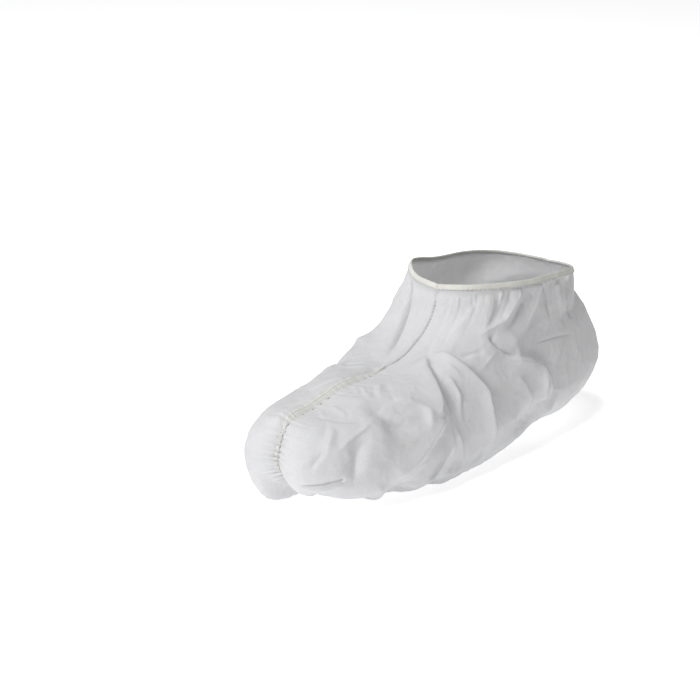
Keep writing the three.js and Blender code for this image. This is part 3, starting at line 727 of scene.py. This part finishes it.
rim_top, rim_down, rim_out = rim_path(480)
rim_run = running(rim_top)
rim_sway = 0.35 * grain(np.stack([rim_run, 0 * rim_run, 0 * rim_run], 1), 17, 9)
print("round the rim:", round(rim_run[-1]), "mm")

# %% The tape
TAPE = np.array([
    # out, up: from the outer hem, over the rim, to the inner hem and back
    (0.4, -3.3), (0.8, -3.5), (1.05, -3.1), (1.1, -2.2), (1.05, -1.1), (0.95, 0.0), (0.65, 0.65),
    (0.0, 0.9), (-0.6, 0.65), (-0.85, 0.0), (-0.9, -0.8), (-0.6, -0.9), (-0.4, 0.0), (0.0, 0.35),
    (0.3, 0.0), (0.35, -1.6),
])
OUTER_LEAF = 0.2  # the part of the section further out than this puffs between the stitches


def ankle_tape():
    puff = 0.16 * pinched(rim_run, 3.4, 0.6, 8)
    aside = TAPE[:, 0] + np.where(TAPE[:, 0] > OUTER_LEAF, puff[:, None], 0)
    up = TAPE[:, 1] + rim_sway[:, None]
    rings = (rim_top[:, None] + rim_out[:, None] * aside[..., None]
             - rim_down[:, None] * up[..., None])
    faces = tube_faces(len(rings), len(TAPE), closed=True)
    piece = make_piece("ankle_tape", rings.reshape(-1, 3), faces, "tape", "trim")
    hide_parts("ankle_binding")


ankle_tape()

# %% [markdown]
# ## The flattened overlock seam
# Over the toe the seam allowance is overlocked and lies flat on the far side. It could be a bump in
# the cloth's finish, but it has an edge that catches light. So we sweep a low domed strip along the
# seam, each point a little above the cloth below it, and sew loops of thread over it.

# %% The seam strip
BAND = {"from": 0.035, "to": 0.715, "width": 5.0, "rise": 0.36, "rib": 0.12, "stations": 420}
BAND_START = 0.1  # millimetres from the seam to the band's near edge


def band_share(v):
    """The band's width as a share of its widest: a cord round the toe, a point at the instep."""
    return (0.36 + 0.64 * ease((v - 0.335) / 0.045)) * (1 - 0.75 * ease((v - 0.55) / 0.16))


def band_dome(across):
    """Height over the cloth where across runs 0 to 1 over the band, with three ribs along it."""
    dome = (1 - (2 * np.clip(across, 0, 1) - 1) ** 6) ** 0.5
    return dome * (BAND["rise"] + BAND["rib"] * np.cos(across * 3 * 2 * math.pi)) - 0.1 * (1 - dome)


def beside_seam(side, away, v, lift):
    """Points on a side, some millimetres from the front seam and above the cloth."""
    lattice = sides[side]
    point, out = lattice.at(away / np.interp(v, lattice.vs, lattice.lengths), v)
    return point + unit(out) * np.atleast_1d(lift)[:, None]


def seam_strip():
    v = np.linspace(BAND["from"], BAND["to"], BAND["stations"])
    across = np.linspace(0, 1, 19)
    wide = BAND["width"] * band_share(v)
    lap = 0.15 + 0.55 * ease((v - 0.30) / 0.08)  # how far it reaches over the seam to the near side
    columns = [beside_seam("L", lap * t, v, 0.05 + 0.16 * (1 - t)) for t in (1, 0.6, 0.2)]
    columns += [beside_seam("R", BAND_START + s * wide, v, 0.21 + band_dome(s)) for s in across]
    columns += [beside_seam("R", BAND_START + s * wide, v, 0.05) for s in across[::-3]]
    rings = np.stack(columns, 1)
    faces = tube_faces(len(v), rings.shape[1], closed=False)
    piece = make_piece("overlocked_seam", rings.reshape(-1, 3), faces, "band", "trim")
    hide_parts("seam_band")


seam_strip()

# %% [markdown]
# ## Thread, and painted shade for the needle holes
# Stitches are too fine for the solids, so they are added here as one joined mesh a kind. Each
# thread is a thin tube along a path of points. A needle hole that was cut through would cost the
# cloth many faces, so each one is a small dimple that lies on top, in a near-black finish that
# is painted shade: the shadow inside the hole.

# %% Tubes and dimples
THREAD_SIDES, HOLE_SIDES = 5, 8
NOT_A_THREAD = np.array([0.3, -0.2, 0.93])  # a way that no thread runs, to turn its section from
DIMPLE = [(1.0, -0.25), (0.75, 0.06)]  # rings of a dimple: share of its size, millimetres out
DIMPLE_TOP = 0.10


def tubes(paths, radius):
    """One mesh from many thin tubes: points and faces."""
    points, faces, start = [], [], 0
    angle = np.arange(THREAD_SIDES) * 2 * math.pi / THREAD_SIDES
    for path in paths:
        along = unit(np.gradient(path, axis=0))
        one = unit(np.cross(along, NOT_A_THREAD))
        two = np.cross(along, one)
        ring = one[:, None] * np.cos(angle)[:, None] + two[:, None] * np.sin(angle)[:, None]
        taper = np.ones(len(path))
        taper[0] = taper[-1] = 0.55
        points.append((path[:, None] + ring * (radius * taper)[:, None, None]).reshape(-1, 3))
        faces += [tuple(start + i for i in f) for f in tube_faces(len(path), THREAD_SIDES, False)]
        start += len(path) * THREAD_SIDES
    return np.concatenate(points), faces


def dimples(centres, outs, alongs, long, wide):
    """Small low domes, one for each pulled needle hole."""
    points, faces = [], []
    angle = np.arange(HOLE_SIDES) * 2 * math.pi / HOLE_SIDES
    for centre, out, along, size in zip(centres, outs, alongs, long):
        across = np.cross(out, along)
        start = len(points)
        for share, lift in DIMPLE:
            for a in angle:
                points.append(centre + along * math.cos(a) * size * share
                              + across * math.sin(a) * wide * share + out * lift)
        points.append(centre + out * DIMPLE_TOP)
        low, high, top = start, start + HOLE_SIDES, start + 2 * HOLE_SIDES
        for k in range(HOLE_SIDES):
            m = (k + 1) % HOLE_SIDES
            faces.append((low + k, low + m, high + m, high + k))
            faces.append((high + k, high + m, top))
        faces.append(tuple(low + k for k in reversed(range(HOLE_SIDES))))
    return np.array(points), faces


def seam_levels(low, high, pitch, seed, wander=0.12):
    """Values of v at an even pitch in millimetres along the front seam."""
    v = np.linspace(low, high, 800)
    run = running(beside_seam("L", 0.3, v, 0.0))
    marks = np.arange(pitch / 2, run[-1], pitch)
    marks = marks + np.random.default_rng(seed).normal(0, wander * pitch, len(marks))
    return np.interp(marks, run, v)


print("seam levels at a pitch of 30 mm:", seam_levels(0, 1, 30.0, 1).round(2))


# %% Overlock loops
def overlock_loops():
    levels = seam_levels(0.04, 0.70, 2.1, 21, 0.06)
    step = np.linspace(0, 1, 7)
    paths = []
    for a, b, c in zip(levels, (levels[1:] + levels[:-1]) / 2, levels[1:]):
        for start, end, near_edge, far_edge in ((a, b, 0.06, 0.94), (b, c, 0.94, 0.06)):
            s = near_edge + (far_edge - near_edge) * step
            v = start + (end - start) * step
            away = BAND_START + s * BAND["width"] * band_share(v)
            paths.append(beside_seam("R", away, v, 0.14 + band_dome(s)))
    rng = np.random.default_rng(37)
    for v in seam_levels(0.12, 0.345, 2.2, 37):  # loops that catch the gathered lobe
        reach = rng.uniform(3.0, 5.2)
        slant = rng.normal(0, 0.004)
        paths.append(beside_seam("R", 1.5 + (reach - 1.5) * step, v + slant * step, 0.16))
    make_piece("overlock_loops", *tubes(paths, 0.13), "thread", "trim")


overlock_loops()


# %% Stitches down the front seam
def front_stitches(levels):
    bow = np.array([0.0, 0.22, 0.28, 0.22, 0.0])
    paths = []
    for a, b in zip(levels[:-1], levels[1:]):
        v = a + (b - a) * np.linspace(0.12, 0.62, len(bow))
        paths.append(beside_seam("R", np.full(len(bow), 0.35), v, 0.25 + bow))
    make_piece("front_seam_stitches", *tubes(paths, 0.26), "thread", "trim")


stitch_levels = seam_levels(0.735, 0.965, 2.6, 31)
front_stitches(stitch_levels)


# %% Painted shade of the needle holes down the front seam
def holes_at(side, away, levels, lift):
    """For holes beside the seam: their middles, the way out and the way along."""
    middle = beside_seam(side, away, levels, lift)
    over = beside_seam(side, away, levels, lift + 1)
    ahead = beside_seam(side, away, levels + 0.004, lift)
    return middle, over - middle, unit(ahead - middle)


def seam_hole_painted_shade():
    rng = np.random.default_rng(33)
    runs = [
        # levels, millimetres from the seam, half of a hole's length
        (stitch_levels[:-1] + 0.80 * np.diff(stitch_levels), 0.35, 0.55),
        (seam_levels(0.16, 0.36, 4.4, 34), 0.7, 0.9),
        (seam_levels(0.39, 0.50, 8.0, 35), 1.1, 1.3),
        (seam_levels(0.60, 0.67, 6.0, 36), 0.9, 0.7),
    ]
    spots, sizes = [], []
    for levels, away, size in runs:
        spots.append(holes_at("L", np.full(len(levels), away), levels, 0.05))
        sizes.append(size * rng.uniform(0.6, 1.2, len(levels)))
    loose = seam_levels(0.15, 0.345, 6.5, 38)  # pricks beside the cord, on the gathered lobe
    spots.append(holes_at("R", rng.uniform(2.0, 3.8, len(loose)), loose, 0.04))
    sizes.append(rng.uniform(0.2, 0.4, len(loose)))
    middles, outs, alongs = (np.concatenate(part) for part in zip(*spots))
    # dark dimples: painted shade for the holes beside the seam and the pricks on the lobe
    holes = dimples(middles, outs, alongs, np.concatenate(sizes), 0.42)
    make_piece("needle_holes", *holes, "hole", "trim")


seam_hole_painted_shade()

# %% Stitches along the ankle tape, and the painted shade of its needle holes
STITCH_ROW = -3.3  # millimetres up from the rim
HOLE_ROW = -3.2
TAPE_PITCH = 3.0


def on_tape(run, up, lift):
    """Points on the tape: how far round the rim, how far up from it and how far out."""
    top, down, out = (np.stack([np.interp(run, rim_run, way[:, k]) for k in range(3)], -1)
                      for way in (rim_top, rim_down, rim_out))
    sway = np.interp(run, rim_run, rim_sway)
    return top + out * np.atleast_1d(lift)[:, None] - down * (up + sway)[:, None]


def tape_stitches(marks):
    bow = np.array([1.1, 1.32, 1.38, 1.32, 1.1])
    runs = [mark + np.linspace(0, 2.0, len(bow)) for mark in marks]
    paths = [on_tape(run, STITCH_ROW, bow) for run in runs if run[-1] < rim_run[-1]]
    make_piece("ankle_tape_stitches", *tubes(paths, 0.2), "thread", "trim")


def tape_hole_painted_shade(marks, rng):
    runs = marks[marks < rim_run[-1] - TAPE_PITCH] + 2.5
    middle = on_tape(runs, HOLE_ROW, np.full(len(runs), 1.05))
    out = on_tape(runs, HOLE_ROW, np.full(len(runs), 2.05)) - middle
    along = unit(on_tape(runs + 0.5, HOLE_ROW, np.full(len(runs), 1.05)) - middle)
    # dark dimples: painted shade for the tape's needle holes
    holes = dimples(middle, out, along, 0.45 * rng.uniform(0.4, 1.3, len(runs)), 0.28)
    make_piece("tape_hole_painted_shade", *holes, "hole", "trim")


rng = np.random.default_rng(41)
tape_marks = np.arange(0, rim_run[-1], TAPE_PITCH)
tape_marks = tape_marks + rng.normal(0, 0.2, len(tape_marks))
tape_stitches(tape_marks)
tape_hole_painted_shade(tape_marks, rng)

# %% [markdown]
# ## Room, light and camera
# A white sweep is the plainest room. One broad soft light stands in front and one hangs overhead,
# with a weak light all round, so that the folds shade softly and the heel falls a little darker.

# %% Floor
FLOOR_SIZE = 14
FLOOR_GAP = 0.0004  # metres under the sole, so that the two don't meet in one plane


def pale_floor():
    look = Look("pale_floor")
    skin = look.node("ShaderNodeBsdfDiffuse", None, Color=(0.93, 0.93, 0.935, 1), Roughness=0.0)
    glow = look.node("ShaderNodeEmission", None, Color=(1, 1, 1, 1), Strength=0.56)
    both = look.node("ShaderNodeAddShader", None, skin, glow)
    look.node("ShaderNodeOutputMaterial", None, Surface=both)
    bpy.ops.mesh.primitive_plane_add(size=FLOOR_SIZE, location=(0, 0, -FLOOR_GAP))
    floor = bpy.context.object
    floor.name = "floor"
    floor.data.materials.append(look.material)


pale_floor()
print("floor:", FLOOR_SIZE, "m wide")


# %% Lights
def soft_light(name, place, target, size, power):
    lamp = bpy.data.lights.new(name, "AREA")
    lamp.shape, lamp.size, lamp.energy = "DISK", size, power
    holder = bpy.data.objects.new(name, lamp)
    holder.location = place
    holder.rotation_euler = (Vector(target) - Vector(place)).to_track_quat("-Z", "Y").to_euler()
    bpy.context.collection.objects.link(holder)
    print(f"{name}: {power} W, {size} m wide")


soft_light("front_light", (0.0, -1.9, 1.4), (0, 0, 0.05), 0.7, 34)
soft_light("top_light", (-0.25, -0.25, 2.2), (0, 0, 0), 0.9, 25)
world = bpy.data.worlds.new("soft_room")
world.use_nodes = True
world.node_tree.nodes["Background"].inputs["Color"].default_value = (1, 1, 1, 1)
world.node_tree.nodes["Background"].inputs["Strength"].default_value = 0.2
bpy.context.scene.world = world
bpy.context.scene.view_settings.view_transform = "Standard"

# %% Camera
AZIMUTH, ELEVATION = math.radians(43), math.radians(20)
LENS, SENSOR = 100.0, 36.0
AIM = np.array([-2.28, -16.5, 58.0]) * MM  # a point on the instep
ASIDE = (0.05, -0.022)  # metres that it lies right of and below the middle of the view
VIEW_WIDTH = 0.51  # metres that the view takes in there


def studio_camera():
    back = Vector((math.sin(AZIMUTH) * math.cos(ELEVATION),
                   -math.cos(AZIMUTH) * math.cos(ELEVATION), math.sin(ELEVATION)))
    right = Vector((math.cos(AZIMUTH), math.sin(AZIMUTH), 0))
    distance = LENS / SENSOR * VIEW_WIDTH
    data = bpy.data.cameras.new("camera")
    data.lens, data.sensor_width = LENS, SENSOR
    data.clip_start, data.clip_end = 0.05, 50
    camera = bpy.data.objects.new("camera", data)
    camera.location = (Vector(AIM) + back * distance
                       - right * ASIDE[0] - back.cross(right) * ASIDE[1])
    camera.rotation_mode = "QUATERNION"
    camera.rotation_quaternion = (-back).to_track_quat("-Z", "Y")
    bpy.context.collection.objects.link(camera)
    bpy.context.scene.camera = camera
    print("camera:", round(distance, 2), "m away")


studio_camera()
